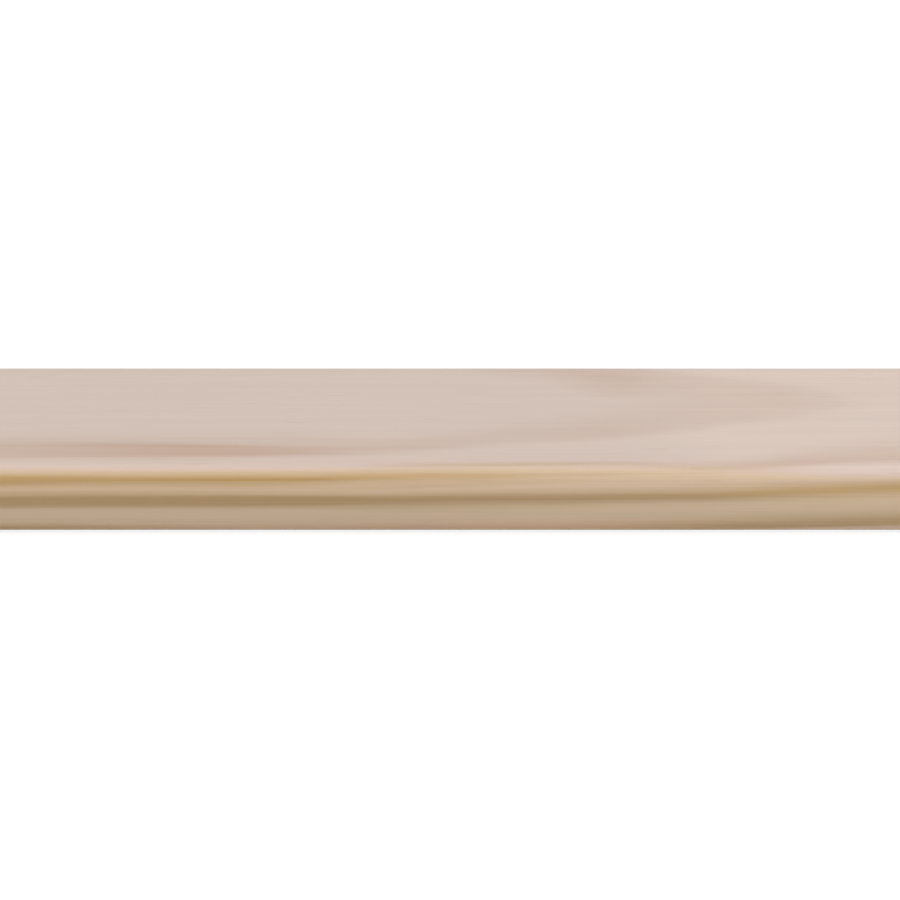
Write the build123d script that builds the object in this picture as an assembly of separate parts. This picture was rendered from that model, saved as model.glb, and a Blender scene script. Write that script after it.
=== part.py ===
# Rounded timber batten: one length of planed softwood whose four long edges are rounded over.
# X runs along the grain, Y across the broad faces and Z up through the thickness.
# The origin is the middle of the underside, which lies on Z = 0.

from build123d import *

import os

# Driving dimensions, in millimetres
length = 900.0  # between the two square saw cuts
width = 45.0  # across the broad faces, from edge to edge
thickness = 15.0  # between the two broad faces
arris_radius = 3.0  # rounding of each of the four long edges


def moulded_section():
    """The section that the planer-moulder leaves: a rectangle with its four arrises rounded."""
    centre_height = thickness / 2
    return Plane.YZ * Pos(0, centre_height) * RectangleRounded(width, thickness, arris_radius)


def cut_length(section):
    """The section carried along the grain, half the length to each side, and cut off square."""
    return extrude(section, amount=length / 2, both=True)


os.makedirs("parts", exist_ok=True)
export_step(cut_length(moulded_section()), "parts/batten.step")
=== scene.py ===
import math

import bmesh
import bpy
import numpy as np
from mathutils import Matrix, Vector


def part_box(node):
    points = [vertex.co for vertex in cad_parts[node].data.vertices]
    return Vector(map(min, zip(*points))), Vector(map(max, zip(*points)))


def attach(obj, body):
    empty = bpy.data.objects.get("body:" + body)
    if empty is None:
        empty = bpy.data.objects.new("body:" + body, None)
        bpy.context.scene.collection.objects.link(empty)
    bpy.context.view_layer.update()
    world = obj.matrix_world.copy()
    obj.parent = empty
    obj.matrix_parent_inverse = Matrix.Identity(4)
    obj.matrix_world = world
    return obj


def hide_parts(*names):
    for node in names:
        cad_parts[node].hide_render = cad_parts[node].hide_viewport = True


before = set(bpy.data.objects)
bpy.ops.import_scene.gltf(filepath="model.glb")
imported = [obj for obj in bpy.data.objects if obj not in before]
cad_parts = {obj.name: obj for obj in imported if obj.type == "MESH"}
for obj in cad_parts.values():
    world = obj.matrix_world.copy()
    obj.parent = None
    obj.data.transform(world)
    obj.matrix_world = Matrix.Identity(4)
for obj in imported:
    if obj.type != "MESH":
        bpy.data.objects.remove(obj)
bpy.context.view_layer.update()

mm = 0.001
low, high = (np.array(corner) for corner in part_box("batten"))
length, width, thickness = (float(side) for side in high - low)
print("frame loaded, batten", [round(side / mm, 2) for side in (length, width, thickness)], "mm")

# How the tree grew, in millimetres. The pith is a line over the top face, a little behind the middle,
# and it climbs towards +X, so the rings leave the top face one by one and each ends in a pointed arch.
# A ring's latewood is a band about its radius, which fades over a stretch inwards and another outwards.
# A false ring is darker wood inside one year's growth, and a ring behind shows only behind the pith.
# A value is one number, or a dictionary of places along X and the values there.
growth = {
    "pithAcross": 6.0,
    "pithAbove": 71.6,  # over the top face, half way along
    "pithClimb": 0.0204,
    "rings": {
        "innerOne": {"radius": 57.6, "band": 0.5, "fade": (1.8, 0.25), "strength": 0.6},
        "innerTwo": {"radius": 61.3, "band": 0.8, "fade": (1.9, 0.25), "strength": 0.8},
        "innerThree": {"radius": 65.0, "band": 0.4, "fade": (1.6, 0.25), "strength": 0.6},
        "innerFour": {"radius": 68.6, "band": 0.7, "fade": (1.6, 0.25), "strength": 0.75},
        "arch": {  # closes in a point on the top face, a little past the middle
            "radius": {-85: 72.0, -37: 72.85, -13: 73.85, 0: 73.85, 10: 73.5, 31: 73.45, 54: 72.9,
                       80: 72.7},
            "band": {-37: 0.4, -13: 0.7, 31: 0.7, 80: 0.5},
            "fade": ({-150: 1.6, -95: 0.7, -37: 0.7, 10: 0.8, 50: 1.1, 150: 1.6},
                     {-150: 0.25, -95: 0.6, 95: 0.6, 150: 0.25}),
            "strength": {-140: 0.65, -85: 0.14, -37: 0.14, -8: 0.25, 10: 0.15, 31: 0.23, 42: 0.14,
                         70: 0.18, 84: 0.12, 150: 0.5},
        },
        "archLens": {  # darker, on the outer side of the arch
            "radius": {-84: 73.0, -37: 73.93, -13: 74.45},
            "band": {-60: 1.25, -37: 0.87, -25: 0.4},
            "fade": (0.5, 0.75),
            "strength": {-130: 0.0, -92: 0.34, -49: 0.64, -25: 0.5, -14: 0.12, -6: 0.0},
            "falseRing": True,
        },
        "archPatch": {  # on the far arm of the arch
            "radius": 72.75,
            "band": 0.7,
            "fade": (0.5, 0.5),
            "strength": {22: 0.0, 30: 0.15, 37: 0.18, 42: 0.0},
            "falseRing": True,
            "behind": True,
        },
        "arrisLine": {  # faint, along the front arris
            "radius": {-13: 76.3, 36: 76.95, 48: 78.0, 56: 77.95, 70: 77.4, 85: 77.2},
            "band": {36: 0.2, 56: 0.4},
            "fade": ({36: 0.5, 56: 1.5, 66: 1.6, 82: 2.8}, {36: 0.5, 56: 0.8}),
            "strength": {-20: 0.0, -8: 0.3, 22: 0.36, 38: 0.18, 48: 0.33, 64: 0.45, 85: 0.36, 160: 0.2},
            "falseRing": True,
        },
        "olive": {  # narrow, on the rounding of the front arris
            "radius": {-83: 77.7, -30: 78.7, -13: 78.45, 9: 78.55},
            "band": {-85: 0.6, -65: 0.15},
            "fade": (2.4, {-40: 1.9, -25: 1.7, 0: 0.9}),
            "strength": {-87: 0.86, -60: 0.92, -48: 1.0, -25: 0.88, -13: 0.64, 0: 0.58, 10: 0.4, 18: 0.15,
                         36: 0.14, 46: 0.0, 96: 0.0, 150: 0.5},
        },
        "dullStretch": {  # between the olive ring and the brown one
            "radius": {-83: 79.6, -25: 80.7, 0: 79.8, 25: 79.3},
            "band": 1.4,
            "fade": (0.8, 0.8),
            "strength": {-25: 0.2, 0: 0.28, 25: 0.13, 60: 0.0},
            "falseRing": True,
        },
        "brown": {  # broad, along the front edge
            "radius": {-84: 82.15, -25: 83.2, 0: 83.3, 21: 83.65, 52: 83.7, 64: 83.15, 85: 82.5},
            "band": {-37: 1.6, -25: 1.35, -13: 0.7, 0: 0.4, 21: 0.1, 41: 0.2, 60: 0.7, 76: 0.7},
            "fade": ({-60: 1.7, -30: 1.2, 0: 2.2, 20: 2.6, 50: 2.6, 76: 2.1},
                     {-30: 1.5, -10: 2.9, 20: 2.7, 40: 2.1, 60: 2.2, 80: 2.9}),
            "strength": {25: 1.0, 60: 0.76, 80: 0.72, 110: 0.7, 150: 0.9},
        },
        "foot": {  # at the foot of the front edge
            "radius": {-84: 88.0, 20: 90.4, 53: 90.4, 85: 89.9},
            "band": {-40: 0.4, 53: 1.0},
            "fade": ({-70: 1.3, -40: 0.8, 60: 3.0}, 0.7),
            "strength": {-92: 0.9, -70: 0.65, -40: 0.25, 20: 0.25, 40: 0.5, 55: 0.78, 80: 0.85},
        },
        "outerOne": {"radius": 94.7, "band": 0.8, "fade": (1.9, 0.3), "strength": 0.8},
        "outerTwo": {"radius": 99.2, "band": 0.5, "fade": (1.8, 0.3), "strength": 0.7},
        "outerThree": {"radius": 104.3, "band": 0.8, "fade": (1.9, 0.3), "strength": 0.85},
    },
    "fadeCurve": 1.5,  # a fade drops fastest beside its band
    "behindEase": 4.0,  # how soon a ring behind the pith comes up
    "swing": 0.7,  # how far a ring wanders, away from the middle stretch
    "swingLength": 210.0,
    "swingStep": 1.1,  # how far each ring's wandering lags the one before, in radians
    "swingFrom": 92.0,
    "settle": 60.0,  # how long the wandering takes to build up
    "smooth": 4.0,  # rounding of the joins along X
    # by the distance from the pith: pink wood, yellow, then greyer, and a little redder at the foot;
    # partly painted light: the pale pink top stands in for its sheen, and the darkening down the front
    # edge is painted shade
    "turns": {75.4: 0.0, 76.6: 0.2, 78.2: 0.4, 81.0: 0.4, 83.2: 0.6, 87.2: 0.8, 89.8: 1.0},
    "yellowTurn": 0.4,
    # the pink it pushes out is in part the top face's painted sheen
    "pinkSheenReach": {-30: 0.0, 20: -0.5, 50: -0.2, 80: 1.4},  # how much further out the pink goes
    "youngLift": 0.03,  # the wood just outside a ring is the palest
    "youngSpan": 0.8,  # the share of a year's growth over which that wears off
    # stretches of the top face and of the front edge's foot that are made a little lighter
    "paleFace": {-30: 0.0, 36: 0.02, 54: 0.08, 110: 0.08, 180: 0.0},
    "paleFoot": {-10: 0.0, 20: 0.04, 60: 0.045, 85: 0.025, 180: 0.0},
}
bellPlaces = np.linspace(-2.0, 2.0, 17)  # along the bell that rounds the joins, in its own widths
bellWeights = np.exp(-0.5 * bellPlaces ** 2)


# 0 to 1 with a soft start and a soft stop
def eased(share):
    share = np.clip(share, 0.0, 1.0)
    return share * share * (3.0 - 2.0 * share)


# a value at each row's X: one number all along, or straight runs between places with the joins rounded
def alongGrain(value, rowX):
    if not isinstance(value, dict):
        return np.full_like(rowX, value)
    samples = np.interp(rowX + growth["smooth"] * bellPlaces, list(value), list(value.values()))
    return samples @ (bellWeights / bellWeights.sum())[:, None]


# distance from the pith, which is a line at one place across and at a height over the top face
def pithDistance(y, z, above):
    return np.hypot(y - growth["pithAcross"], thickness / mm - z + above)


# one ring's latewood, which rises and falls about a radius that wanders as a sine, and its outer edge
def ringBand(ring, place, rowX, away, behind):
    outside = np.clip((np.abs(rowX) - growth["swingFrom"]) / growth["settle"], 0.0, 1.0)
    phase = 2.0 * math.pi * rowX / growth["swingLength"] + growth["swingStep"] * place
    centre = alongGrain(ring["radius"], rowX) + outside * growth["swing"] * np.sin(phase)
    half = alongGrain(ring["band"], rowX) / 2
    inner, outer = (alongGrain(fade, rowX) for fade in ring["fade"])
    rise = np.clip((away - centre + half + inner) / inner, 0.0, 1.0)
    fall = np.clip((centre + half + outer - away) / outer, 0.0, 1.0)
    band = alongGrain(ring["strength"], rowX) * (rise * fall) ** growth["fadeCurve"]
    if ring.get("behind"):
        band = band * eased(behind / growth["behindEase"])
    return band, centre + half + outer / 2


# at every point: the latewood, which is the sum of the rings, the turn from pink to yellow to grey wood by
# the distance from a level pith, which also carries painted sheen on the top face and painted shade down
# the front edge, and the tone, palest after each ring and in the lighter stretches
def growthField(x, y, z):
    x, y, z = x / mm, y / mm, z / mm
    rowX = x[:, :1]
    away = pithDistance(y, z, growth["pithAbove"] + growth["pithClimb"] * x)
    late, years, before = np.zeros_like(away), np.zeros_like(away), None
    for place, ring in enumerate(growth["rings"].values()):
        band, edge = ringBand(ring, place, rowX, away, y - growth["pithAcross"])
        late += band
        if ring.get("falseRing"):
            continue
        if before is not None:
            years += np.clip((away - before) / (edge - before), 0.0, 1.0)
        before = edge
    level = pithDistance(y, z, growth["pithAbove"]) - alongGrain(growth["pinkSheenReach"], rowX)
    turn = np.interp(level, list(growth["turns"]), list(growth["turns"].values()))
    yellow = turn / growth["yellowTurn"]
    tone = 1.0 + growth["youngLift"] * (1.0 - eased((years % 1.0) / growth["youngSpan"]))
    tone += alongGrain(growth["paleFace"], rowX) * np.clip(1.0 - yellow, 0.0, 1.0)
    tone += alongGrain(growth["paleFoot"], rowX) * np.clip(yellow - 1.0, 0.0, 1.0)
    return np.clip(late, 0.0, 1.0), turn, tone


batten = {
    "arrisRadius": 3.0 * mm,
    "endEase": 0.3 * mm,  # where the saw breaks the fibres off the end arris
    "arcSteps": 13,
    "faceSteps": 96,
    "edgeSteps": 24,
    "lengthSteps": 260,
    "easeRows": 3,
    "capRows": 24,
    "earlySunk": 0.03 * mm,  # soft earlywood planes lower than the hard latewood
    "sawPitch": 1.5 * mm,
    "sawMiddle": (50.0 * mm, -112.0 * mm),  # across and up
    "sawDepth": 0.07 * mm,
    "sawRise": 3.0,  # the saw's marks are at their full depth a third of the way in
    "weldGap": 0.0005 * mm,
    "sharpFrom": 40.0,  # degrees
}


# a rectangle with rounded corners, anticlockwise seen from +X: four quarter circles, each then a flat
def moulded():
    radius = batten["arrisRadius"]
    reach = np.array((width, thickness)) / 2 - radius  # to the middles of the quarter circles
    corners = np.array(((1, -1), (1, 1), (-1, 1), (-1, -1)))
    flatSteps = (batten["edgeSteps"], batten["faceSteps"]) * 2
    points, normals = [], []
    for place, corner in enumerate(corners):
        angles = math.pi / 2 * (place - 1 + np.linspace(0.0, 1.0, batten["arcSteps"] + 1))
        facing = np.stack((np.cos(angles), np.sin(angles)), axis=-1)
        arc = corner * reach + radius * facing
        ahead = corners[(place + 1) % 4] * reach + radius * facing[-1]
        share = np.linspace(0.0, 1.0, flatSteps[place] + 1)[1:-1, None]
        flat = arc[-1] + share * (ahead - arc[-1])
        points += [arc, flat]
        normals += [facing, np.broadcast_to(facing[-1], flat.shape)]
    points, normals = np.concatenate(points), np.concatenate(normals)
    return points[:, 0], points[:, 1] + thickness / 2, normals[:, 0], normals[:, 1]


# rows along the batten: where each lies on X, how far its section is drawn in at the end arris, which is
# a quarter circle, and how far it is shrunk towards the section's middle line to close the end
def lengthRows():
    ease, half = batten["endEase"], length / 2
    cap = np.linspace(1.0, 0.0, batten["capRows"] + 1)[:-1]
    rim = np.linspace(0.0, math.pi / 2, batten["easeRows"] + 1)
    body = np.linspace(-half + ease, half - ease, batten["lengthSteps"] + 1)[1:-1]
    leftX = np.concatenate((np.full(len(cap), -half), -half + ease * (1.0 - np.cos(rim))))
    leftIn = np.concatenate((np.full(len(cap), ease), ease * (1.0 - np.sin(rim))))
    leftShrink = np.concatenate((cap, np.zeros(len(rim))))
    x = np.concatenate((leftX, body, -leftX[::-1]))
    drawnIn = np.concatenate((leftIn, np.zeros(len(body)), leftIn[::-1]))
    shrink = np.concatenate((leftShrink, np.zeros(len(body)), leftShrink[::-1]))
    return x, drawnIn, shrink


# the row and the column of each quad's four corners, where the column after the last is the first again
def quadCorners(rows, columns):
    row, column = np.meshgrid(np.arange(rows - 1), np.arange(columns), indexing="ij")
    rowAt = np.stack((row, row, row + 1, row + 1), axis=-1)
    columnAt = np.stack((column, column + 1, column + 1, column), axis=-1)
    return rowAt, columnAt


# the section carried along the rows: drawn in at its normals for the end arris, shrunk to the middle line
# to close the ends, sunk at its normals where the wood is soft, and cut by the arcs of the saw on the ends
def battenMesh():
    across, up, normalAcross, normalUp = moulded()
    rowX, drawnIn, shrink = (part[:, None] for part in lengthRows())
    x = np.repeat(rowX, len(across), axis=1)
    y = across - drawnIn * normalAcross
    z = up - drawnIn * normalUp
    reach = (width - thickness) / 2
    y = y + shrink * (np.clip(y, -reach, reach) - y)
    z = z + shrink * (thickness / 2 - z)
    late, turn, tone = growthField(x, y, z)

    sunk = batten["earlySunk"] * (1.0 - late) * (shrink == 0.0)
    y = y - sunk * normalAcross
    z = z - sunk * normalUp
    swept = np.hypot(y - batten["sawMiddle"][0], z - batten["sawMiddle"][1])
    kerf = 0.5 + 0.5 * np.sin(2.0 * math.pi * swept / batten["sawPitch"])
    x = x - np.sign(x) * batten["sawDepth"] * kerf * np.clip(batten["sawRise"] * shrink, 0.0, 1.0)

    rowAt, columnAt = quadCorners(*x.shape)
    quads = rowAt * len(across) + columnAt % len(across)
    isEnd = (shrink[rowAt, 0] > 0.0).any(axis=-1)
    mesh = bpy.data.meshes.new("battenTimber")
    mesh.from_pydata(np.stack((x, y, z), axis=-1).reshape(-1, 3), [], quads.reshape(-1, 4))
    mesh.polygons.foreach_set("material_index", isEnd.ravel().astype(np.int32))
    field = mesh.attributes.new("growth", "FLOAT_VECTOR", "POINT")
    field.data.foreach_set("vector", np.stack((late, turn, tone), axis=-1).astype(np.float32).ravel())
    addBakeMap(mesh, rowX[:, 0], y, z, rowAt, columnAt, isEnd)
    closeSeams(mesh)
    return mesh


bakeSheet = {
    "sidesTop": 0.80,
    "endsFrom": 0.83,
    "margin": 0.006,
}


# the sides laid out as one sheet, the length along U and the girth along V, with the two ends above it
def addBakeMap(mesh, rowX, y, z, rowAt, columnAt, isEnd):
    sidesTop, endsFrom, margin = bakeSheet["sidesTop"], bakeSheet["endsFrom"], bakeSheet["margin"]
    columns = y.shape[1]
    alongShare = (rowX[rowAt] + length / 2) / length
    sideU = margin + (1.0 - 2.0 * margin) * alongShare
    sideV = margin + (sidesTop - 2.0 * margin) * columnAt / columns
    endY = y[rowAt, columnAt % columns] / width + 0.5
    endZ = z[rowAt, columnAt % columns] / thickness
    endU = margin + (0.5 - 2.0 * margin) * endY + 0.5 * (alongShare > 0.5)
    endV = endsFrom + (1.0 - margin - endsFrom) * endZ
    u = np.where(isEnd[..., None], endU, sideU)
    v = np.where(isEnd[..., None], endV, sideV)
    layer = mesh.uv_layers.new(name="OFBake")
    layer.data.foreach_set("uv", np.stack((u, v), axis=-1).astype(np.float32).ravel())


# the two middle lines, where the ends meet themselves, become single rows of points
def closeSeams(mesh):
    work = bmesh.new()
    work.from_mesh(mesh)
    bmesh.ops.remove_doubles(work, verts=work.verts, dist=batten["weldGap"])
    bmesh.ops.recalc_face_normals(work, faces=work.faces)
    work.to_mesh(mesh)
    work.free()
    mesh.shade_smooth()
    mesh.set_sharp_from_angle(angle=math.radians(batten["sharpFrom"]))
    mesh.update()


# a colour written as its screen values, 0 to 255, in the linear light that sockets take
def screenColor(red, green, blue):
    share = np.array((red, green, blue)) / 255.0
    linear = np.where(share <= 0.04045, share / 12.92, ((share + 0.055) / 1.055) ** 2.4)
    return (*(float(part) for part in linear), 1.0)


# a link where the value comes from another node, or else the value itself
def feed(tree, socket, value):
    if isinstance(value, bpy.types.NodeSocket):
        tree.links.new(value, socket)
    else:
        socket.default_value = value


def addMath(tree, operation, first, second=0.0, clamp=False):
    node = tree.nodes.new("ShaderNodeMath")
    node.operation, node.use_clamp = operation, clamp
    feed(tree, node.inputs[0], first)
    feed(tree, node.inputs[1], second)
    return node.outputs[0]


def addRange(tree, value, fromLow, fromHigh, toLow, toHigh, smooth=False):
    node = tree.nodes.new("ShaderNodeMapRange")
    node.interpolation_type = "SMOOTHSTEP" if smooth else "LINEAR"
    for place, part in enumerate((value, fromLow, fromHigh, toLow, toHigh)):
        feed(tree, node.inputs[place], part)
    return node.outputs[0]


def addMix(tree, share, first, second, blend="MIX"):
    node = tree.nodes.new("ShaderNodeMix")
    node.data_type, node.blend_type = "RGBA", blend
    feed(tree, node.inputs[0], share)
    feed(tree, node.inputs[6], first)  # 6 and 7 take the node's two colours
    feed(tree, node.inputs[7], second)
    return node.outputs[2]


# evenly spaced colours along 0 to 1
def addRamp(tree, share, colors):
    node = tree.nodes.new("ShaderNodeValToRGB")
    band = node.color_ramp
    while len(band.elements) < len(colors):
        band.elements.new(0.5)
    for place, color in enumerate(colors):
        band.elements[place].position = place / (len(colors) - 1)
        band.elements[place].color = screenColor(*color)
    feed(tree, node.inputs[0], share)
    return node.outputs[0]


noiseSpan = (0.25, 0.75)  # nearly all of a noise lies in here
noiseShift = (1.0, 1.7, 2.3)  # an offset moves a noise this way, so that no two are alike


# noise on Object coordinates, drawn out along the grain: along and across are features to the metre
def addNoise(tree, along, across, detail=2.0, roughness=0.5, offset=0.0):
    place = tree.nodes.new("ShaderNodeTexCoord")
    mapping = tree.nodes.new("ShaderNodeMapping")
    mapping.inputs["Scale"].default_value = (along, across, across)
    mapping.inputs["Location"].default_value = [offset * part for part in noiseShift]
    noise = tree.nodes.new("ShaderNodeTexNoise")
    noise.inputs["Scale"].default_value = 1.0
    noise.inputs["Detail"].default_value = detail
    noise.inputs["Roughness"].default_value = roughness
    tree.links.new(place.outputs["Object"], mapping.inputs["Vector"])
    tree.links.new(mapping.outputs["Vector"], noise.inputs["Vector"])
    return noise.outputs["Fac"]


# noise brought to a factor about 1 that goes up and down by the depth
def addVariation(tree, noise, depth):
    return addRange(tree, noise, *noiseSpan, 1.0 - depth, 1.0 + depth)


def addBump(tree, shader, height, strength, distance):
    bump = tree.nodes.new("ShaderNodeBump")
    bump.inputs["Strength"].default_value = strength
    bump.inputs["Distance"].default_value = distance
    tree.links.new(height, bump.inputs["Height"])
    tree.links.new(bump.outputs["Normal"], shader.inputs["Normal"])


def emptyMaterial(name):
    material = bpy.data.materials.new(name)
    material.use_nodes = True
    material.node_tree.nodes.clear()
    return material, material.node_tree, material.node_tree.nodes.new("ShaderNodeOutputMaterial")


def startMaterial(name):
    material, tree, output = emptyMaterial(name)
    shader = tree.nodes.new("ShaderNodeBsdfPrincipled")
    tree.links.new(shader.outputs["BSDF"], output.inputs["Surface"])
    return material, tree, shader


ringFray = {"along": 14.0, "across": 6500.0, "detail": 3.0}  # the fibres that break up a ring


# latewood, turn and tone from the mesh's growth field, the latewood broken up a little by the fibres
def ringNodes(tree, ragged):
    field = tree.nodes.new("ShaderNodeAttribute")
    field.attribute_name = "growth"
    parts = tree.nodes.new("ShaderNodeSeparateXYZ")
    tree.links.new(field.outputs["Vector"], parts.inputs[0])
    late, turn, tone = parts.outputs
    frayed = addVariation(tree, addNoise(tree, **ringFray), ragged)
    return addMath(tree, "MULTIPLY", late, frayed, clamp=True), turn, tone


planed = {
    # from the pink wood to the foot of the front edge, a fifth of the turn apart; partly painted light:
    # the pale pink top colours stand in for the top face's sheen, the latewood is golden where the arris
    # catches the light, and both darken down the front edge as painted shade
    "early": ((198, 181, 170), (199, 178, 167), (204, 179, 152),
              (193, 170, 142), (183, 162, 137), (185, 155, 129)),
    "late": ((171, 138, 115), (169, 139, 98), (170, 137, 76),
             (160, 132, 92), (156, 129, 90), (154, 126, 88)),
    "ragged": 0.28,
    "fibre": {"along": 30.0, "across": 7000.0, "detail": 4.0, "roughness": 0.65},
    "fibreDepth": 0.07,
    "streak": {"along": 4.0, "across": 420.0, "offset": 5.0},
    "streakDepth": 0.02,
    "mottle": {"along": 9.0, "across": 45.0, "offset": 11.0},
    "mottleDepth": 0.015,
    "canal": {"along": 110.0, "across": 3600.0, "detail": 0.0, "offset": 17.0},
    "canalFrom": (0.74, 0.80),  # only the peaks of that noise are resin canals, in short brown dashes
    "resin": (168, 128, 94),
    "resinShare": 0.2,
    "roughness": (0.62, 0.54),  # of earlywood and of latewood
    "roughnessDepth": 0.08,
    "gloss": 0.42,
    "bump": (0.25, 0.04 * mm),
}


def planedPine():
    material, tree, shader = startMaterial("planedPine")
    late, turn, tone = ringNodes(tree, planed["ragged"])
    # the turn's colours carry painted sheen on the top face and painted shade down the front edge
    early = addRamp(tree, turn, planed["early"])
    dark = addRamp(tree, turn, planed["late"])
    color = addMix(tree, late, early, dark)
    fibre, streak, mottle = (addNoise(tree, **planed[name]) for name in ("fibre", "streak", "mottle"))
    for noise, depth in ((fibre, "fibreDepth"), (streak, "streakDepth"), (mottle, "mottleDepth")):
        tone = addMath(tree, "MULTIPLY", tone, addVariation(tree, noise, planed[depth]))
    color = addMix(tree, 1.0, color, tone, blend="MULTIPLY")
    canal = addNoise(tree, **planed["canal"])
    canal = addRange(tree, canal, *planed["canalFrom"], 0.0, planed["resinShare"])
    color = addMix(tree, canal, color, screenColor(*planed["resin"]))
    tree.links.new(color, shader.inputs["Base Color"])
    rough = addRange(tree, late, 0.0, 1.0, *planed["roughness"])
    rough = addMath(tree, "MULTIPLY", rough, addVariation(tree, fibre, planed["roughnessDepth"]))
    tree.links.new(rough, shader.inputs["Roughness"])
    shader.inputs["Specular IOR Level"].default_value = planed["gloss"]
    addBump(tree, shader, fibre, *planed["bump"])
    return material


sawn = {
    "early": (196, 168, 137),
    "late": (148, 110, 78),
    "ragged": 0.1,
    "pore": {"along": 900.0, "across": 2600.0, "detail": 4.0, "roughness": 0.6, "offset": 3.0},
    "poreDepth": 0.06,
    "rayDepth": 0.05,  # fine rays from the pith outwards
    "raysToTurn": 420.0,  # to a radian
    "rayLength": 4.0 * mm,
    "arcDepth": 0.035,
    "arcWander": 1.5,
    "arcWanderScale": 0.4,
    "roughness": 0.75,
    "bump": (0.5, 0.1 * mm),
}
waveTurn = 20.0  # the Wave texture turns by this many radians in a unit


# noise about the pith, drawn out along the radius
def rayNoise(tree):
    place = tree.nodes.new("ShaderNodeTexCoord")
    parts = tree.nodes.new("ShaderNodeSeparateXYZ")
    tree.links.new(place.outputs["Object"], parts.inputs[0])
    along, across, up = parts.outputs
    climb = addMath(tree, "MULTIPLY", along, growth["pithClimb"])
    pith = addMath(tree, "ADD", climb, thickness + growth["pithAbove"] * mm)
    below = addMath(tree, "SUBTRACT", pith, up)
    beside = addMath(tree, "SUBTRACT", across, growth["pithAcross"] * mm)
    angle = addMath(tree, "ARCTAN2", beside, below)
    turned = tree.nodes.new("ShaderNodeCombineXYZ")
    tree.links.new(addMath(tree, "MULTIPLY", angle, sawn["raysToTurn"]), turned.inputs[0])
    tree.links.new(addMath(tree, "DIVIDE", below, sawn["rayLength"]), turned.inputs[1])
    noise = tree.nodes.new("ShaderNodeTexNoise")
    noise.inputs["Scale"].default_value = 1.0
    tree.links.new(turned.outputs[0], noise.inputs["Vector"])
    return noise.outputs["Fac"]


# rings about the saw's own middle, a pitch apart and a little uneven
def sawArcs(tree):
    place = tree.nodes.new("ShaderNodeTexCoord")
    mapping = tree.nodes.new("ShaderNodeMapping")
    mapping.inputs["Scale"].default_value = (0.0, 1.0, 1.0)
    mapping.inputs["Location"].default_value = (0.0, *(-part for part in batten["sawMiddle"]))
    tree.links.new(place.outputs["Object"], mapping.inputs["Vector"])
    wave = tree.nodes.new("ShaderNodeTexWave")
    wave.wave_type, wave.rings_direction = "RINGS", "SPHERICAL"
    wave.inputs["Scale"].default_value = 2.0 * math.pi / waveTurn / batten["sawPitch"]
    wave.inputs["Distortion"].default_value = sawn["arcWander"]
    wave.inputs["Detail Scale"].default_value = sawn["arcWanderScale"]
    tree.links.new(mapping.outputs["Vector"], wave.inputs["Vector"])
    return wave.outputs["Fac"]


def sawnPine():
    material, tree, shader = startMaterial("sawnPine")
    late, _, tone = ringNodes(tree, sawn["ragged"])
    color = addMix(tree, late, screenColor(*sawn["early"]), screenColor(*sawn["late"]))
    pore = addNoise(tree, **sawn["pore"])
    arcs = addRange(tree, sawArcs(tree), 0.0, 1.0, 1.0 - sawn["arcDepth"], 1.0 + sawn["arcDepth"])
    tone = addMath(tree, "MULTIPLY", tone, addVariation(tree, pore, sawn["poreDepth"]))
    tone = addMath(tree, "MULTIPLY", tone, addVariation(tree, rayNoise(tree), sawn["rayDepth"]))
    tone = addMath(tree, "MULTIPLY", tone, arcs)
    color = addMix(tree, 1.0, color, tone, blend="MULTIPLY")
    tree.links.new(color, shader.inputs["Base Color"])
    shader.inputs["Roughness"].default_value = sawn["roughness"]
    addBump(tree, shader, pore, *sawn["bump"])
    return material


timber = bpy.data.objects.new("battenTimber", battenMesh())
bpy.context.scene.collection.objects.link(timber)
timber.data.materials.append(planedPine())
timber.data.materials.append(sawnPine())
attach(timber, "root")
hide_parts("batten")
print("batten made,", sum(len(face.vertices) - 2 for face in timber.data.polygons), "triangles")

studio = {
    "floorSize": 30.0,
    "floorPale": 0.95,  # what the floor throws back at the batten
    "seenDiffuse": 0.22,  # as the camera sees it: mostly its own white, the rest takes the shadow
    "seenGlow": 0.84,
    "blank": (0.9, 2.2),  # from here out the floor turns into the plain white behind it
    "skyLevel": 0.25,
    "lightReach": 1.6,
    "lights": (
        {"name": "keyLight", "power": 29.7, "size": (3.0, 1.4), "elevation": 73.0, "azimuth": 0.0},
        {"name": "fillLight", "power": 4.75, "size": (3.0, 0.8), "elevation": 20.0, "azimuth": 0.0},
        {"name": "backLight", "power": 4.5, "size": (3.0, 1.2), "elevation": 55.0, "azimuth": 180.0},
    ),
}


# 1 where a ray from the camera, a gloss or a clear surface arrives, else 0
def seenDirectly(tree):
    path = tree.nodes.new("ShaderNodeLightPath")
    seen = addMath(tree, "MAXIMUM", path.outputs["Is Camera Ray"], path.outputs["Is Glossy Ray"])
    return addMath(tree, "MAXIMUM", seen, path.outputs["Is Transmission Ray"])


def addDiffuse(tree, pale):
    node = tree.nodes.new("ShaderNodeBsdfDiffuse")
    node.inputs["Color"].default_value = (pale, pale, pale, 1.0)
    return node.outputs[0]


def addGlow(tree, strength):
    node = tree.nodes.new("ShaderNodeEmission")
    node.inputs["Strength"].default_value = strength
    return node.outputs[0]


def addShaderMix(tree, share, first, second):
    node = tree.nodes.new("ShaderNodeMixShader")
    for place, part in enumerate((share, first, second)):
        tree.links.new(part, node.inputs[place])
    return node.outputs[0]


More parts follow.
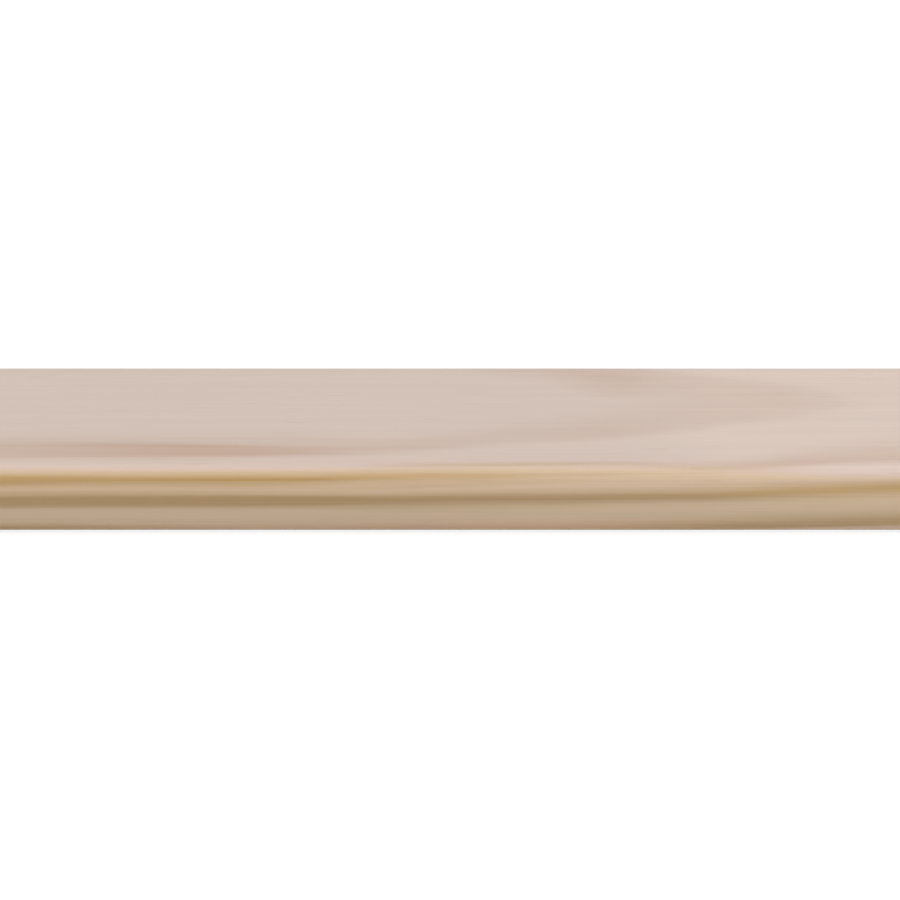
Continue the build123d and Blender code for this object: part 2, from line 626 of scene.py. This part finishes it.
# white to the camera with the batten's shadow on it, a pale diffuse floor to everything else
def floorWhite():
    material, tree, output = emptyMaterial("studioFloor")
    near = tree.nodes.new("ShaderNodeAddShader")
    tree.links.new(addDiffuse(tree, studio["seenDiffuse"]), near.inputs[0])
    tree.links.new(addGlow(tree, studio["seenGlow"]), near.inputs[1])
    place = tree.nodes.new("ShaderNodeTexCoord")
    away = tree.nodes.new("ShaderNodeVectorMath")
    away.operation = "LENGTH"
    tree.links.new(place.outputs["Object"], away.inputs[0])
    far = addRange(tree, away.outputs["Value"], *studio["blank"], 0.0, 1.0, smooth=True)
    seen = addShaderMix(tree, far, near.outputs[0], addGlow(tree, 1.0))
    choice = addShaderMix(tree, seenDirectly(tree), addDiffuse(tree, studio["floorPale"]), seen)
    tree.links.new(choice, output.inputs["Surface"])
    return material


def layFloor():
    half = studio["floorSize"] / 2
    corners = [(-half, -half, 0.0), (half, -half, 0.0), (half, half, 0.0), (-half, half, 0.0)]
    mesh = bpy.data.meshes.new("studioFloor")
    mesh.from_pydata(corners, [], [(0, 1, 2, 3)])
    mesh.materials.append(floorWhite())
    floor = bpy.data.objects.new("studioFloor", mesh)
    bpy.context.scene.collection.objects.link(floor)


def paleWorld():
    world = bpy.data.worlds.new("studioWorld")
    bpy.context.scene.world = world
    world.use_nodes = True
    tree = world.node_tree
    background = tree.nodes["Background"]
    background.inputs["Color"].default_value = (1.0, 1.0, 1.0, 1.0)
    level = addRange(tree, seenDirectly(tree), 0.0, 1.0, studio["skyLevel"], 1.0)
    tree.links.new(level, background.inputs["Strength"])


# a way out from the origin: azimuth 0 is in front of the batten, and 90 is at its +X end
def outward(elevation, azimuth=0.0):
    up, turn = math.radians(elevation), math.radians(azimuth)
    return Vector((math.cos(up) * math.sin(turn), -math.cos(up) * math.cos(turn), math.sin(up)))


def aimAt(item, place, target):
    item.location = place
    item.rotation_euler = (Vector(target) - Vector(place)).to_track_quat("-Z", "Y").to_euler()


def softLight(name, power, size, elevation, azimuth):
    light = bpy.data.lights.new(name, "AREA")
    light.shape = "RECTANGLE"
    light.size, light.size_y = size
    light.energy = power
    item = bpy.data.objects.new(name, light)
    bpy.context.scene.collection.objects.link(item)
    aimAt(item, studio["lightReach"] * outward(elevation, azimuth), (0.0, 0.0, 0.0))


layFloor()
paleWorld()
for light in studio["lights"]:
    softLight(**light)
print("studio made")

view = {
    "lens": 100.0,
    "sensor": 36.0,
    "elevation": 29.1,
    "seenWidth": 182.9 * mm,  # the stretch of batten across the frame
    "target": (0.0, 0.0, 6.76 * mm),
}
cameraData = bpy.data.cameras.new("studioCamera")
cameraData.lens, cameraData.sensor_width = view["lens"], view["sensor"]
camera = bpy.data.objects.new("studioCamera", cameraData)
bpy.context.scene.collection.objects.link(camera)
reach = view["seenWidth"] * view["lens"] / view["sensor"]
aimAt(camera, Vector(view["target"]) + reach * outward(view["elevation"]), view["target"])
bpy.context.scene.camera = camera
bpy.context.scene.view_settings.view_transform = "Standard"
print("camera set", [round(part, 4) for part in camera.location])
